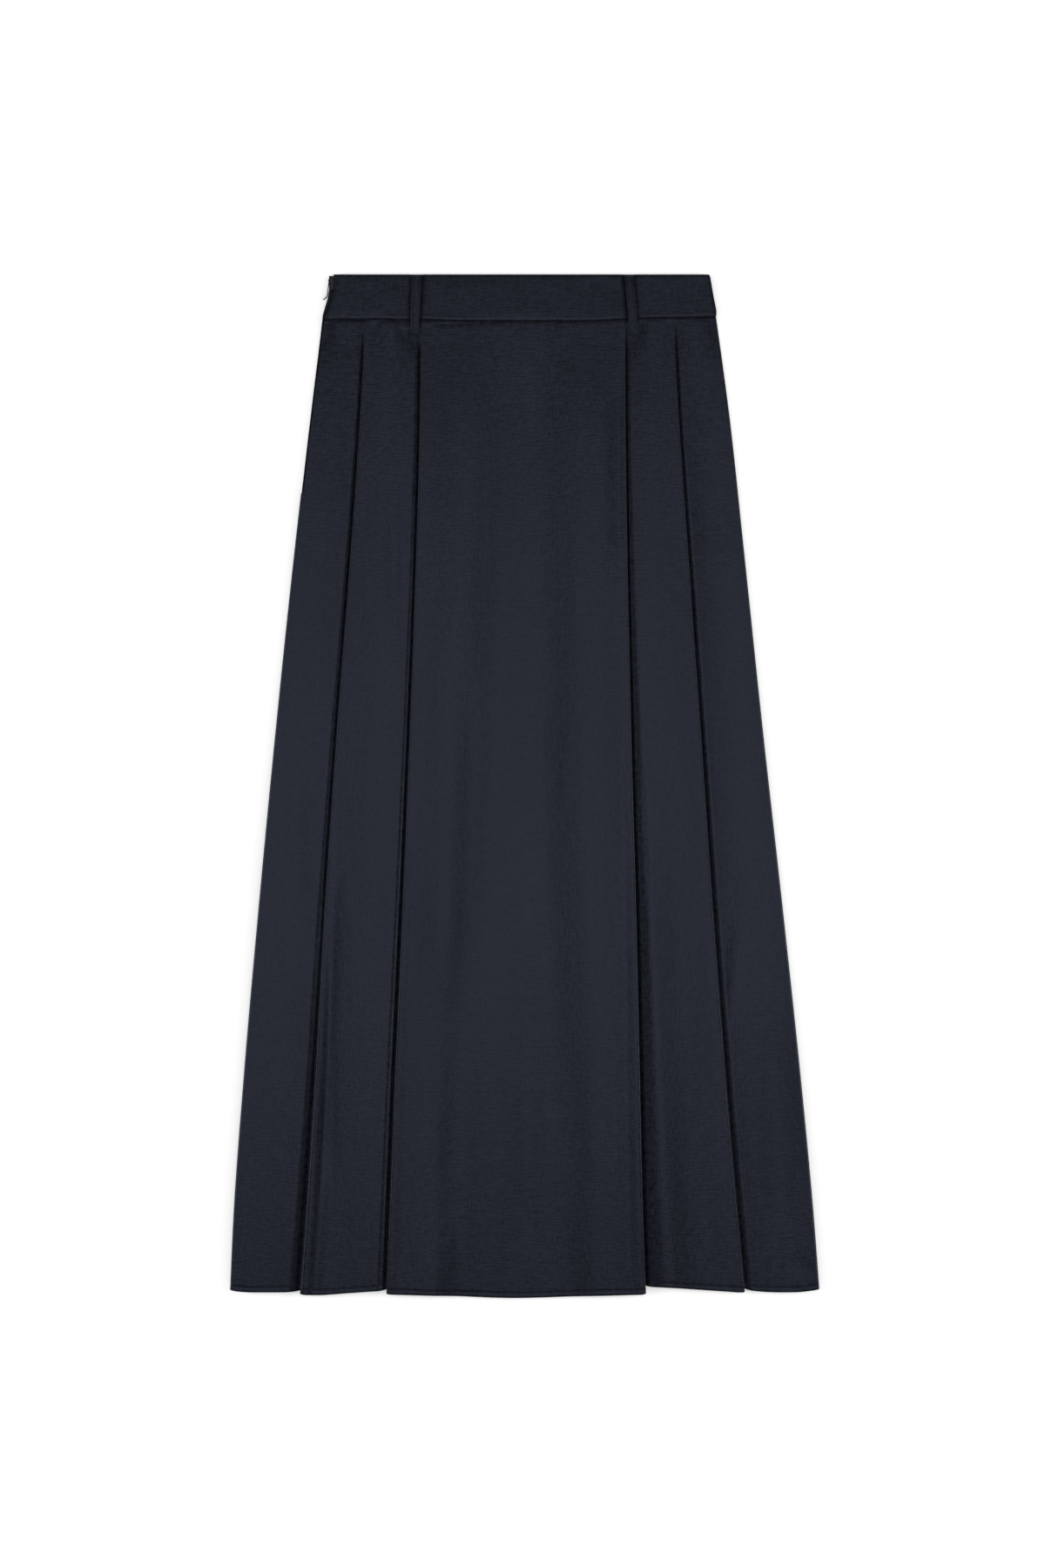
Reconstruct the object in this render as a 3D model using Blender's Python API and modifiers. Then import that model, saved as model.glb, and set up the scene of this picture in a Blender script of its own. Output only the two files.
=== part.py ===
"""A long pleated skirt with a waistband, two belt loops and a side zip, laid flat with its front up.

Metres. X runs to the right across the skirt, Y runs up to the waist, and Z rises off the table, whose surface is
Z = 0. The origin is the middle of the laid-out skirt, at the table. The skirt front is one unbroken wall of cloth.
In each half it turns under at two knife pleats with their edges facing outwards, so the centre panel lies on the
two middle panels, and those lie on the side panels.
"""

import math
from collections import namedtuple

import bmesh
import bpy
import numpy as np

# Sizes of the whole
HEM_Y = -0.46985
WAIST_SEAM_Y = 0.4284
SKIRT_LENGTH = 0.892
BACK_LENGTH = 0.884
BACK_SAG = 0.0025

# Cloth, and how its layers lie on each other
CLOTH = 0.001
LAYER_GAP = 0.0004
SEAM_GAP = 0.0003
BAND = 0.002
BACK_INSET = 0.0005
LOW = CLOTH + LAYER_GAP + CLOTH / 2
FRONT_BAND_LOW = BAND + LAYER_GAP

# How round a pleat's two folds are, and how its panel settles behind them
HIDDEN_RADIUS = 0.00072
SHELF_RADIUS_AT_WAIST = 0.00072
SHELF_RADIUS_AT_HEM = 0.0010
SHELF_PAST_FOLD = 0.002
FALL_AT_WAIST = 0.010
FALL_AT_HEM = 0.022
ARC_STEPS = 4
FALL_STEPS = 4
FLAT_STEPS = 3
CENTRE_STEPS = 6

# How deep each pleat is, and where its edge, pressed flat near the waist, begins to roll up above the shelf behind it
Pleat = namedtuple("Pleat", "depth_at_waist depth_at_hem rolls_from roll_at_hem")
PLEATS = {
    "left_outer": Pleat(0.018, 0.036, 0.420, 0.0024),
    "left_inner": Pleat(0.034, 0.038, 0.250, 0.0018),
    "right_inner": Pleat(0.034, 0.038, 0.120, 0.0028),
    "right_outer": Pleat(0.018, 0.036, 0.300, 0.0014),
}
ROLL_WIDTH = 4.0

# Between the pleats the cloth comes up to meet the waistband
SWELL = 0.0013
SWELL_LENGTH = 0.040

# Where the fold edges and the side edges run, by the distance below the waist seam
Station = namedtuple("Station", "down left left_outer left_inner right_inner right_outer right")
STATIONS = (
    Station(0.000, -0.1860, -0.1465, -0.0955, 0.0925, 0.1365, 0.1757),
    Station(0.090, -0.1970, -0.1515, -0.0965, 0.0927, 0.1415, 0.1877),
    Station(0.220, -0.2120, -0.1605, -0.1000, 0.0945, 0.1505, 0.2017),
    Station(0.380, -0.2287, -0.1728, -0.1058, 0.0981, 0.1617, 0.2185),
    Station(0.540, -0.2440, -0.1836, -0.1124, 0.1025, 0.1727, 0.2363),
    Station(0.700, -0.2580, -0.1930, -0.1195, 0.1062, 0.1848, 0.2533),
    Station(0.825, -0.2671, -0.2015, -0.1245, 0.1090, 0.1957, 0.2650),
    Station(0.892, -0.2701, -0.2065, -0.1272, 0.1114, 0.2021, 0.2701),
)
ROW_DOWNS = (0.0, 0.012, 0.040, 0.090, 0.158, 0.166, 0.220, 0.300, 0.380, 0.460, 0.540, 0.620, 0.700, 0.765, 0.825,
             0.892)

# The waist seam dips in the middle and climbs to the right
SeamPoint = namedtuple("SeamPoint", "x y")
SEAM = (
    SeamPoint(-0.190, 0.4288),
    SeamPoint(-0.100, 0.4286),
    SeamPoint(-0.060, 0.4272),
    SeamPoint(0.065, 0.4272),
    SeamPoint(0.110, 0.4298),
    SeamPoint(0.180, 0.4312),
)

# How far each panel's hem lies above the lowest point, from the panel's left end to its right end
Hem = namedtuple("Hem", "start quarter middle three_quarters end")
HEMS = {
    "left_side": Hem(0.0072, 0.0057, 0.0055, 0.0055, 0.0061),
    "left_middle": Hem(0.0034, 0.0030, 0.0044, 0.0058, 0.0070),
    "centre": Hem(0.0034, 0.0019, 0.0000, 0.0018, 0.0034),
    "right_middle": Hem(0.0103, 0.0098, 0.0081, 0.0066, 0.0050),
    "right_side": Hem(0.0076, 0.0058, 0.0053, 0.0058, 0.0079),
}

# Soft standing waves in the lower half of the centre panel
Wave = namedtuple("Wave", "x_top x_hem down_from half_width height")
WAVES = (
    Wave(-0.036, -0.030, 0.430, 0.032, 0.0018),
    Wave(0.026, 0.028, 0.520, 0.026, 0.0013),
)

# Left end of the waistband, where the zip lies between the band and the outline
ZipRow = namedtuple("ZipRow", "y outer cloth")
ZIP_ROWS = (
    ZipRow(0.46985, -0.1800, -0.1757),
    ZipRow(0.4550, -0.1800, -0.1758),
    ZipRow(0.4470, -0.1814, -0.1775),
    ZipRow(0.4400, -0.1836, -0.1802),
    ZipRow(0.4330, -0.1855, -0.1832),
    ZipRow(0.4288, -0.1860, -0.1844),
)
ZIP_INSET = 0.0016
ZIP_CLEARANCE = 0.0004
ZIP_END = 0.160
ZIP_CHAIN_HEIGHT_BAND = 0.0042
ZIP_CHAIN_HEIGHT = 0.0023

# Right end of the waistband
EdgePoint = namedtuple("EdgePoint", "x y")
BAND_RIGHT = (
    EdgePoint(0.1690, 0.46985),
    EdgePoint(0.1703, 0.4680),
    EdgePoint(0.1712, 0.4628),
    EdgePoint(0.1734, 0.4500),
    EdgePoint(0.1760, 0.4372),
    EdgePoint(0.1760, 0.4330),
    EdgePoint(0.1757, 0.4312),
)

# Belt loops: where the middle line starts and ends, and its height over the table along the way
LoopEnds = namedtuple("LoopEnds", "x_top x_bottom width_top width_bottom")
LOOPS = {
    "belt_loop_left": LoopEnds(-0.0993, -0.1015, 0.0098, 0.0078),
    "belt_loop_right": LoopEnds(0.0957, 0.1004, 0.0088, 0.0078),
}
LOOP_CLOTH = 0.0012
LoopRow = namedtuple("LoopRow", "y z")
LOOP_ROWS = (
    LoopRow(0.4693, 0.00535),
    LoopRow(0.4665, 0.00540),
    LoopRow(0.4600, 0.00595),
    LoopRow(0.4510, 0.00620),
    LoopRow(0.4410, 0.00605),
    LoopRow(0.4335, 0.00560),
    LoopRow(0.4285, 0.00535),
    LoopRow(0.4245, 0.00510),
    LoopRow(0.4205, 0.00475),
    LoopRow(0.4175, 0.00455),
    LoopRow(0.4144, 0.00445),
)

# Zip slider and its pull tab, which swings about an upright pin at the slider's outer side
PIVOT_X = -0.1796
PIVOT_Y = 0.4644
SLIDER_LEFT = PIVOT_X + 0.0011
SLIDER_WIDTH = 0.0024
SLIDER_LOW_Y = 0.4556
SLIDER_HIGH_Y = 0.4680
SLIDER_Z = (0.0003, 0.0041)
LUG_THICK = 0.0007
LUG_REACH = 0.0008
LUG_HALF_LENGTH = 0.0012
EYE_RADIUS = 0.0008
EYE_Z = (0.0013, 0.0031)
TAB_THICK = 0.0007
TabRow = namedtuple("TabRow", "x y height")
TAB_ROWS = (
    TabRow(0.0000, 0.0000, 0.0014),
    TabRow(-0.0004, -0.0022, 0.0015),
    TabRow(-0.0007, -0.0040, 0.0024),
    TabRow(-0.0011, -0.0075, 0.0030),
    TabRow(-0.0015, -0.0110, 0.0036),
    TabRow(-0.0020, -0.0138, 0.0037),
    TabRow(-0.0032, -0.0160, 0.0034),
    TabRow(-0.0056, -0.0176, 0.0020),
)


def clear_scene():
    for obj in list(bpy.data.objects):
        bpy.data.objects.remove(obj, do_unlink=True)


def make_collection(name):
    collection = bpy.data.collections.new(name)
    bpy.context.scene.collection.children.link(collection)
    return collection


def make_material(name, colour, roughness, metallic):
    material = bpy.data.materials.new(name)
    material.use_nodes = True
    shader = material.node_tree.nodes["Principled BSDF"]
    shader.inputs["Base Color"].default_value = (*colour, 1)
    shader.inputs["Roughness"].default_value = roughness
    shader.inputs["Metallic"].default_value = metallic
    return material


def add_object(name, data, collection, material):
    obj = bpy.data.objects.new(name, data)
    collection.objects.link(obj)
    if material:
        data.materials.append(material)
    return obj


def wall(name, rows, thick, collection, material):
    """A sheet of cloth through rows of points, thickened evenly to both sides."""
    bm = bmesh.new()
    grid = [[bm.verts.new(point) for point in row] for row in rows]
    for upper, lower in zip(grid, grid[1:]):
        for a, b, c, d in zip(upper, lower, lower[1:], upper[1:]):
            bm.faces.new((a, b, c, d))
    mesh = bpy.data.meshes.new(name)
    bm.to_mesh(mesh)
    bm.free()
    mesh.shade_smooth()
    obj = add_object(name, mesh, collection, material)
    solidify = obj.modifiers.new("thickness", "SOLIDIFY")
    solidify.thickness = thick
    solidify.offset = 0
    solidify.use_even_offset = True
    return obj


def flat_piece(name, outline, low, thick, collection, material):
    """A flat piece of cloth with the given outline, its underside at the height low."""
    curve = bpy.data.curves.new(name, "CURVE")
    curve.dimensions = "2D"
    curve.fill_mode = "BOTH"
    curve.extrude = thick / 2
    spline = curve.splines.new("POLY")
    spline.points.add(len(outline) - 1)
    for point, (x, y) in zip(spline.points, outline):
        point.co = (x, y, 0, 1)
    spline.use_cyclic_u = True
    obj = add_object(name, curve, collection, material)
    obj.location.z = low + thick / 2
    return obj


def loft(name, rings, collection, material):
    """A closed tube through rings of points, capped at both ends."""
    bm = bmesh.new()
    loops = [[bm.verts.new(point) for point in ring] for ring in rings]
    for one, two in zip(loops, loops[1:]):
        for i in range(len(one)):
            j = (i + 1) % len(one)
            bm.faces.new((one[i], one[j], two[j], two[i]))
    bm.faces.new(loops[0])
    bm.faces.new(loops[-1])
    bmesh.ops.recalc_face_normals(bm, faces=bm.faces)
    mesh = bpy.data.meshes.new(name)
    bm.to_mesh(mesh)
    bm.free()
    return add_object(name, mesh, collection, material)


def block(name, low, high, collection, material=None):
    """A box between two corners, made from Blender's cube."""
    bm = bmesh.new()
    bmesh.ops.create_cube(bm, size=1)
    size = [b - a for a, b in zip(low, high)]
    bmesh.ops.scale(bm, vec=size, verts=bm.verts)
    mesh = bpy.data.meshes.new(name)
    bm.to_mesh(mesh)
    bm.free()
    obj = add_object(name, mesh, collection, material)
    obj.location = [(a + b) / 2 for a, b in zip(low, high)]
    return obj


def join(obj, tool):
    """Adds a helper shape to an object, and hides the helper."""
    boolean = obj.modifiers.new(tool.name, "BOOLEAN")
    boolean.operation = "UNION"
    boolean.object = tool
    tool.hide_render = True
    tool.display_type = "WIRE"


def along(column, down):
    """A column of the stations on a smooth curve, at a distance below the waist seam."""
    downs = np.array([row.down for row in STATIONS])
    values = np.array([getattr(row, column) for row in STATIONS])
    slopes = np.gradient(values, downs)
    i = min(max(int(np.searchsorted(downs, down)) - 1, 0), len(downs) - 2)
    step = downs[i + 1] - downs[i]
    t = (down - downs[i]) / step
    return float(
        (2 * t**3 - 3 * t**2 + 1) * values[i]
        + (t**3 - 2 * t**2 + t) * step * slopes[i]
        + (3 * t**2 - 2 * t**3) * values[i + 1]
        + (t**3 - t**2) * step * slopes[i + 1]
    )


def ease(t):
    """Runs from 0 to 1 with no corner at either end."""
    t = min(max(t, 0.0), 1.0)
    return t * t * (3 - 2 * t)


def mix(a, b, t):
    return a + (b - a) * t


def seam_y(x):
    return float(np.interp(x, [p.x for p in SEAM], [p.y for p in SEAM]))


def cloth_edge(column, down):
    """Side edge of the skirt cloth. On the left it stays clear of the zip as far as the zip goes."""
    edge = along(column, down)
    if column == "left" and down < ZIP_END:
        edge += ZIP_INSET
    return edge


def pleat(fold, depth, shelf_radius, edge_radius, fall):
    """One pleat, as (distance from the middle, height, visible), from under the fold to where its panel lies low."""
    middle = LOW + 2 * HIDDEN_RADIUS
    roll_z = middle + 2 * edge_radius
    shelf_z = middle + 2 * shelf_radius
    hidden = fold - depth + HIDDEN_RADIUS
    edge = fold - CLOTH / 2 - edge_radius
    points = [(mix(fold, hidden, t), LOW, False) for t in (0.5, 1)]
    for i in range(1, ARC_STEPS + 1):
        turn = math.pi * i / ARC_STEPS
        points.append((hidden - HIDDEN_RADIUS * math.sin(turn), LOW + HIDDEN_RADIUS * (1 - math.cos(turn)), False))
    points += [(mix(hidden, edge, t), middle, False) for t in (1 / 3, 2 / 3, 1)]
    for i in range(1, ARC_STEPS + 1):
        turn = math.pi * i / ARC_STEPS
        points.append((edge + edge_radius * math.sin(turn), middle + edge_radius * (1 - math.cos(turn)),
                       i >= ARC_STEPS // 2))
    shelf = fold - depth - SHELF_PAST_FOLD
    roll_end = edge - ROLL_WIDTH * edge_radius
    for t in (0.5, 1.0):
        points.append((mix(edge, roll_end, t), mix(roll_z, shelf_z, ease(t)), True))
    points += [(mix(roll_end, shelf, t), shelf_z, True) for t in (1 / 3, 2 / 3)]
    for i in range(FALL_STEPS + 1):
        t = i / FALL_STEPS
        points.append((shelf - fall * t, mix(shelf_z, LOW, ease(t)), True))
    return points


def swell(t, down):
    """Height that a panel's low stretch gains near the waist seam, t running from 0 to 1 across the stretch."""
    return SWELL * (1 - ease(down / SWELL_LENGTH)) * ease(3 * min(t, 1 - t))


def half_section(side, down):
    """The front wall's middle line in one half, from its side edge to the middle of the skirt."""
    share = down / SKIRT_LENGTH
    shelf_radius = mix(SHELF_RADIUS_AT_WAIST, SHELF_RADIUS_AT_HEM, share)
    fall = mix(FALL_AT_WAIST, FALL_AT_HEM, share)
    outer = abs(cloth_edge(side, down))
    fold_1 = abs(along(side + "_outer", down))
    fold_2 = abs(along(side + "_inner", down))
    points = [(outer, LOW, side + "_side")]
    start = outer
    for fold, name, own, after in ((fold_1, "_outer", "_side", side + "_middle"),
                                   (fold_2, "_inner", "_middle", "centre")):
        for i in range(1, FLAT_STEPS + 1):
            t = i / FLAT_STEPS
            points.append((mix(start, fold, t), LOW + swell(t, down), side + own))
        own_pleat = PLEATS[side + name]
        depth = mix(own_pleat.depth_at_waist, own_pleat.depth_at_hem, share)
        grown = ease((down - own_pleat.rolls_from) / (SKIRT_LENGTH - own_pleat.rolls_from))
        edge_radius = mix(shelf_radius, own_pleat.roll_at_hem, grown)
        line = pleat(fold, depth, shelf_radius, edge_radius, fall)
        points += [(s, z, after if seen else None) for s, z, seen in line]
        start = line[-1][0]
    for i in range(1, CENTRE_STEPS):
        t = i / CENTRE_STEPS
        points.append((start * (1 - t), LOW + swell(t / 2, down), "centre"))
    return points


def wave_height(x, down):
    """Height of the soft waves over the flat centre panel."""
    share = down / SKIRT_LENGTH
    height = 0.0
    for wave in WAVES:
        off = abs(x - mix(wave.x_top, wave.x_hem, share)) / wave.half_width
        grown = ease((down - wave.down_from) / (SKIRT_LENGTH - wave.down_from))
        height += wave.height * grown * ease(1 - off)
    return height


def section(down):
    """The whole front's middle line from left to right, as (x, z, panel)."""
    left = [(-s, z, panel) for s, z, panel in half_section("left", down)]
    right = [(s, z, panel) for s, z, panel in half_section("right", down)]
    line = left + [(0.0, LOW + swell(0.5, down), "centre")] + right[::-1]
    return [(x, z + (wave_height(x, down) if panel == "centre" else 0.0), panel) for x, z, panel in line]


def hem_rises():
    """How far each point of the hem lies above the lowest one. Hidden layers run evenly between the panels."""
    line = section(SKIRT_LENGTH)
    spans = {name: [x for x, _, panel in line if panel == name] for name in HEMS}
    places = []
    rises = []
    for i, (x, _, panel) in enumerate(line):
        if panel:
            low, high = min(spans[panel]), max(spans[panel])
            places.append(i)
            rises.append(np.interp((x - low) / (high - low), [0, 0.25, 0.5, 0.75, 1], HEMS[panel]))
    return np.interp(range(len(line)), places, rises)


def skirt_front(collection, material):
    tops = [seam_y(x) - SEAM_GAP for x, _, _ in section(0.0)]
    bottoms = [HEM_Y + rise for rise in hem_rises()]
    rows = []
    for down in ROW_DOWNS:
        share = down / SKIRT_LENGTH
        rows.append([(x, mix(top, bottom, share), z)
                     for (x, z, _), top, bottom in zip(section(down), tops, bottoms)])
    return wall("skirt_front", rows, CLOTH, collection, material)


def skirt_back(collection, material):
    """The plain back panel, just inside the front's outline, with an even hem a little shorter than the front's."""
    downs = [down for down in ROW_DOWNS if down < BACK_LENGTH] + [BACK_LENGTH]
    left = [(cloth_edge("left", down) + BACK_INSET, WAIST_SEAM_Y - down) for down in downs]
    right = [(cloth_edge("right", down) - BACK_INSET, WAIST_SEAM_Y - down) for down in downs]
    hem_low = WAIST_SEAM_Y - BACK_LENGTH
    half = right[-1][0]
    hem = [(half * t, hem_low - BACK_SAG * (1 - t * t)) for t in (-0.75, -0.5, -0.25, 0.0, 0.25, 0.5, 0.75)]
    left[0] = (left[0][0], seam_y(left[0][0]) - SEAM_GAP)
    right[0] = (right[0][0], seam_y(right[0][0]) - SEAM_GAP)
    waist = [(p.x, p.y - SEAM_GAP) for p in SEAM[-2:0:-1]]
    return flat_piece("skirt_back", left + hem + right[::-1] + waist, 0.0, CLOTH, collection, material)


def band_outline(inset):
    left = [(row.cloth + inset, row.y) for row in ZIP_ROWS]
    seam = [(p.x, p.y) for p in SEAM[1:-1]]
    right = [(p.x - inset, p.y) for p in BAND_RIGHT[::-1]]
    return left + seam + right


def waistband(collection, material):
    flat_piece("waistband_back", band_outline(BACK_INSET), 0.0, BAND, collection, material)
    flat_piece("waistband_front", band_outline(0.0), FRONT_BAND_LOW, BAND, collection, material)


def belt_loops(collection, material):
    """Two strips of folded cloth, fixed at both ends and standing a little off the band between them."""
    top_y = LOOP_ROWS[0].y
    bottom_y = LOOP_ROWS[-1].y
    for name, ends in LOOPS.items():
        rows = []
        for row in LOOP_ROWS:
            t = (top_y - row.y) / (top_y - bottom_y)
            x = mix(ends.x_top, ends.x_bottom, t)
            half = mix(ends.width_top, ends.width_bottom, t) / 2
            rows.append([(x + half * across, row.y, row.z) for across in (-1, 0, 1)])
        wall(name, rows, LOOP_CLOTH, collection, material)


def zip_chain(collection, material):
    """The closed teeth and tape ends that show along the left edge, from the slider down."""
    rings = []
    for row in ZIP_ROWS[1:]:
        inner = row.cloth - ZIP_CLEARANCE
        rings.append((row.outer, inner, row.y, ZIP_CHAIN_HEIGHT_BAND))
    for down in (0.010, 0.040, 0.080, 0.120, ZIP_END - ZIP_CLEARANCE):
        outer = along("left", down)
        rings.append((outer, outer + ZIP_INSET - ZIP_CLEARANCE, WAIST_SEAM_Y - down, ZIP_CHAIN_HEIGHT))
    corners = [[(outer, y, 0.0), (inner, y, 0.0), (inner, y, height), (outer, y, height)]
               for outer, inner, y, height in rings]
    return loft("zip_chain", corners, collection, material)


def zip_slider(collection, tools, material):
    """The slider's body, with a lug above and below the pull tab's eye."""
    low_z, high_z = SLIDER_Z
    body = block("zip_slider", (SLIDER_LEFT, SLIDER_LOW_Y, low_z),
                 (SLIDER_LEFT + SLIDER_WIDTH, SLIDER_HIGH_Y, high_z), collection, material)
    for name, z in (("lug_low", low_z), ("lug_high", high_z - LUG_THICK)):
        lug = block(name, (PIVOT_X - LUG_REACH, PIVOT_Y - LUG_HALF_LENGTH, z),
                    (SLIDER_LEFT + LUG_THICK, PIVOT_Y + LUG_HALF_LENGTH, z + LUG_THICK), tools)
        join(body, lug)
    return body


def zip_pull(collection, tools, material):
    """The pull tab: an eye round the pin and a slim curved blade standing on its edge."""
    middle_z = sum(EYE_Z) / 2
    bm = bmesh.new()
    bmesh.ops.create_cone(bm, cap_ends=True, segments=16, radius1=EYE_RADIUS, radius2=EYE_RADIUS,
                          depth=EYE_Z[1] - EYE_Z[0])
    mesh = bpy.data.meshes.new("zip_pull")
    bm.to_mesh(mesh)
    bm.free()
    pull = add_object("zip_pull", mesh, collection, material)
    pull.location = (PIVOT_X, PIVOT_Y, middle_z)
    rings = []
    for i, row in enumerate(TAB_ROWS):
        before = TAB_ROWS[max(i - 1, 0)]
        after = TAB_ROWS[min(i + 1, len(TAB_ROWS) - 1)]
        run = math.hypot(after.x - before.x, after.y - before.y)
        side_x = -(after.y - before.y) / run * TAB_THICK / 2
        side_y = (after.x - before.x) / run * TAB_THICK / 2
        half = row.height / 2
        x = PIVOT_X + row.x
        y = PIVOT_Y + row.y
        rings.append([(x - side_x, y - side_y, middle_z - half), (x + side_x, y + side_y, middle_z - half),
                      (x + side_x, y + side_y, middle_z + half), (x - side_x, y - side_y, middle_z + half)])
    blade = loft("pull_blade", rings, tools, None)
    join(pull, blade)
    return pull


def main():
    clear_scene()
    skirt = make_collection("pleated_skirt")
    tools = make_collection("joined_shapes")
    satin = make_material("navy_satin", (0.021, 0.024, 0.036), 0.5, 0.0)
    band = make_material("navy_band", (0.015, 0.017, 0.023), 0.55, 0.0)
    chain = make_material("zip_coil", (0.012, 0.012, 0.014), 0.5, 0.0)
    metal = make_material("dark_metal", (0.02, 0.02, 0.022), 0.4, 0.6)
    skirt_front(skirt, satin)
    skirt_back(skirt, satin)
    waistband(skirt, band)
    belt_loops(skirt, band)
    zip_chain(skirt, chain)
    zip_slider(skirt, tools, metal)
    zip_pull(skirt, tools, metal)


main()
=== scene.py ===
"""Looks of the pleated skirt: satin shells over its solids, stitches, zip teeth, floor, light and camera."""

import math
from collections import namedtuple

import bpy
import numpy as np
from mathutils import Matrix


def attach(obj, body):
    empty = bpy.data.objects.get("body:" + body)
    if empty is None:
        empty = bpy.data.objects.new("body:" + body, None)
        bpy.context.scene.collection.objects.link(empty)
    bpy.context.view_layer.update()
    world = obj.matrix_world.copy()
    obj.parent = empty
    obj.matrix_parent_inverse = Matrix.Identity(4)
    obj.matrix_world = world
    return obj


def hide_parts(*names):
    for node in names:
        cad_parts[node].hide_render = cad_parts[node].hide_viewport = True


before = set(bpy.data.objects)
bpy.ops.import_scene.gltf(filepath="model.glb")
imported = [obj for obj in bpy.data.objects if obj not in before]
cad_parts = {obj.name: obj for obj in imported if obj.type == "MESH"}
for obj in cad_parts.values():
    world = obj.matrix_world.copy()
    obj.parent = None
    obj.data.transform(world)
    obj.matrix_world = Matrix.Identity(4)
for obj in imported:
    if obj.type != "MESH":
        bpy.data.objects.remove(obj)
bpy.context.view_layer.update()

# Sizes of the solids, in metres: the outline, the layers' thickness and their heights off the table
TOP_Y = 0.46985
HEM_Y = -0.46985
WAIST_SEAM_Y = 0.4284
SKIRT_LENGTH = 0.892
BACK_LENGTH = 0.884
BACK_SAG = 0.0025
CLOTH = 0.001
LAYER_GAP = 0.0004
SEAM_GAP = 0.0003
BAND = 0.002
BACK_INSET = 0.0005
LOW = CLOTH + LAYER_GAP + CLOTH / 2
BAND_FACE = BAND + LAYER_GAP + BAND

# Pleats: how deep they turn under, how the panel on top falls back down, and how the fold edge rolls
HIDDEN_RADIUS = 0.00072
SHELF_RADIUS_AT_WAIST = 0.00072
SHELF_RADIUS_AT_HEM = 0.0010
SHELF_PAST_FOLD = 0.002
Pleat = namedtuple(
    "Pleat", "depth_at_waist depth_at_hem fall_at_waist fall_at_hem rolls_from roll_at_hem roll_width"
)
PLEATS = {
    "left_outer": Pleat(0.018, 0.036, 0.030, 0.038, 0.420, 0.0024, 9.0),
    "left_inner": Pleat(0.034, 0.038, 0.054, 0.032, 0.250, 0.0014, 8.0),
    "right_inner": Pleat(0.034, 0.038, 0.054, 0.042, 0.120, 0.0017, 8.0),
    "right_outer": Pleat(0.018, 0.036, 0.030, 0.038, 0.300, 0.0012, 8.0),
}
SWELL = 0.0006
SWELL_LENGTH = 0.040

# Where the side edges and the fold edges run, by the distance below the waist seam
Station = namedtuple("Station", "down left left_outer left_inner right_inner right_outer right")
STATIONS = (
    Station(0.000, -0.1860, -0.1465, -0.0955, 0.0925, 0.1365, 0.1757),
    Station(0.090, -0.1970, -0.1515, -0.0965, 0.0927, 0.1415, 0.1877),
    Station(0.220, -0.2120, -0.1605, -0.1000, 0.0945, 0.1505, 0.2017),
    Station(0.380, -0.2287, -0.1728, -0.1058, 0.0981, 0.1617, 0.2185),
    Station(0.540, -0.2440, -0.1836, -0.1124, 0.1025, 0.1727, 0.2363),
    Station(0.700, -0.2580, -0.1930, -0.1195, 0.1062, 0.1848, 0.2533),
    Station(0.825, -0.2671, -0.2015, -0.1245, 0.1090, 0.1957, 0.2650),
    Station(0.892, -0.2701, -0.2065, -0.1272, 0.1114, 0.2021, 0.2701),
)

# The waist seam, from left to right
Point = namedtuple("Point", "x y")
SEAM = (
    Point(-0.190, 0.4288),
    Point(-0.100, 0.4286),
    Point(-0.060, 0.4272),
    Point(0.065, 0.4272),
    Point(0.110, 0.4298),
    Point(0.180, 0.4312),
)

# How far each panel's hem lies above the lowest point, at five places across the panel
Hem = namedtuple("Hem", "start quarter middle three_quarters end")
HEMS = {
    "left_side": Hem(0.0072, 0.0057, 0.0055, 0.0055, 0.0061),
    "left_middle": Hem(0.0034, 0.0030, 0.0044, 0.0058, 0.0070),
    "centre": Hem(0.0034, 0.0019, 0.0000, 0.0018, 0.0034),
    "right_middle": Hem(0.0103, 0.0098, 0.0081, 0.0066, 0.0050),
    "right_side": Hem(0.0076, 0.0058, 0.0053, 0.0058, 0.0079),
}
HEM_CORNER_RISE = 0.0009
HEM_CORNER_WIDTH = 0.0022

# The zip: its outer edge and the edge of the cloth beside it, down to the waist seam
ZipRow = namedtuple("ZipRow", "y outer cloth")
ZIP_ROWS = (
    ZipRow(0.46985, -0.1800, -0.1757),
    ZipRow(0.4550, -0.1800, -0.1758),
    ZipRow(0.4470, -0.1814, -0.1775),
    ZipRow(0.4400, -0.1836, -0.1802),
    ZipRow(0.4330, -0.1855, -0.1832),
    ZipRow(0.4288, -0.1860, -0.1844),
)
ZIP_INSET = 0.0016
ZIP_CLEARANCE = 0.0004
ZIP_END = 0.160
ZIP_TOP_AT_BAND = 0.0042
ZIP_TOP_BELOW_BAND = 0.0023
ZIP_STEP_LENGTH = 0.010
ZIP_SQUARENESS = 0.55
TAPE = 0.00024
TAPE_CLEARANCE = 0.00002
TAPE_TOP_GAP = 0.0009
TAPE_INSET = 0.0001
TOOTH_PITCH = 0.0013
TOOTH_RADIUS = 0.00032
TOOTH_MIDDLE = 0.45
TOOTH_SHARE = 0.7
TOOTH_SINK = 0.0001
METAL_EDGE = 0.00018

# The right edge of the waistband, from the top down
BAND_RIGHT = (
    Point(0.1690, 0.46985),
    Point(0.1703, 0.4680),
    Point(0.1712, 0.4628),
    Point(0.1734, 0.4500),
    Point(0.1760, 0.4372),
    Point(0.1760, 0.4330),
    Point(0.1757, 0.4312),
)
BAND_WIDTH = 0.36
BAND_DEPTH = 0.042
BAND_EDGE_STEPS = (0, 0.00012, 0.0003, 0.0006, 0.001, 0.0016)
BAND_FRONT_SHELL = 0.0009
BAND_BACK_SHELL = BAND - 0.0008

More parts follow.
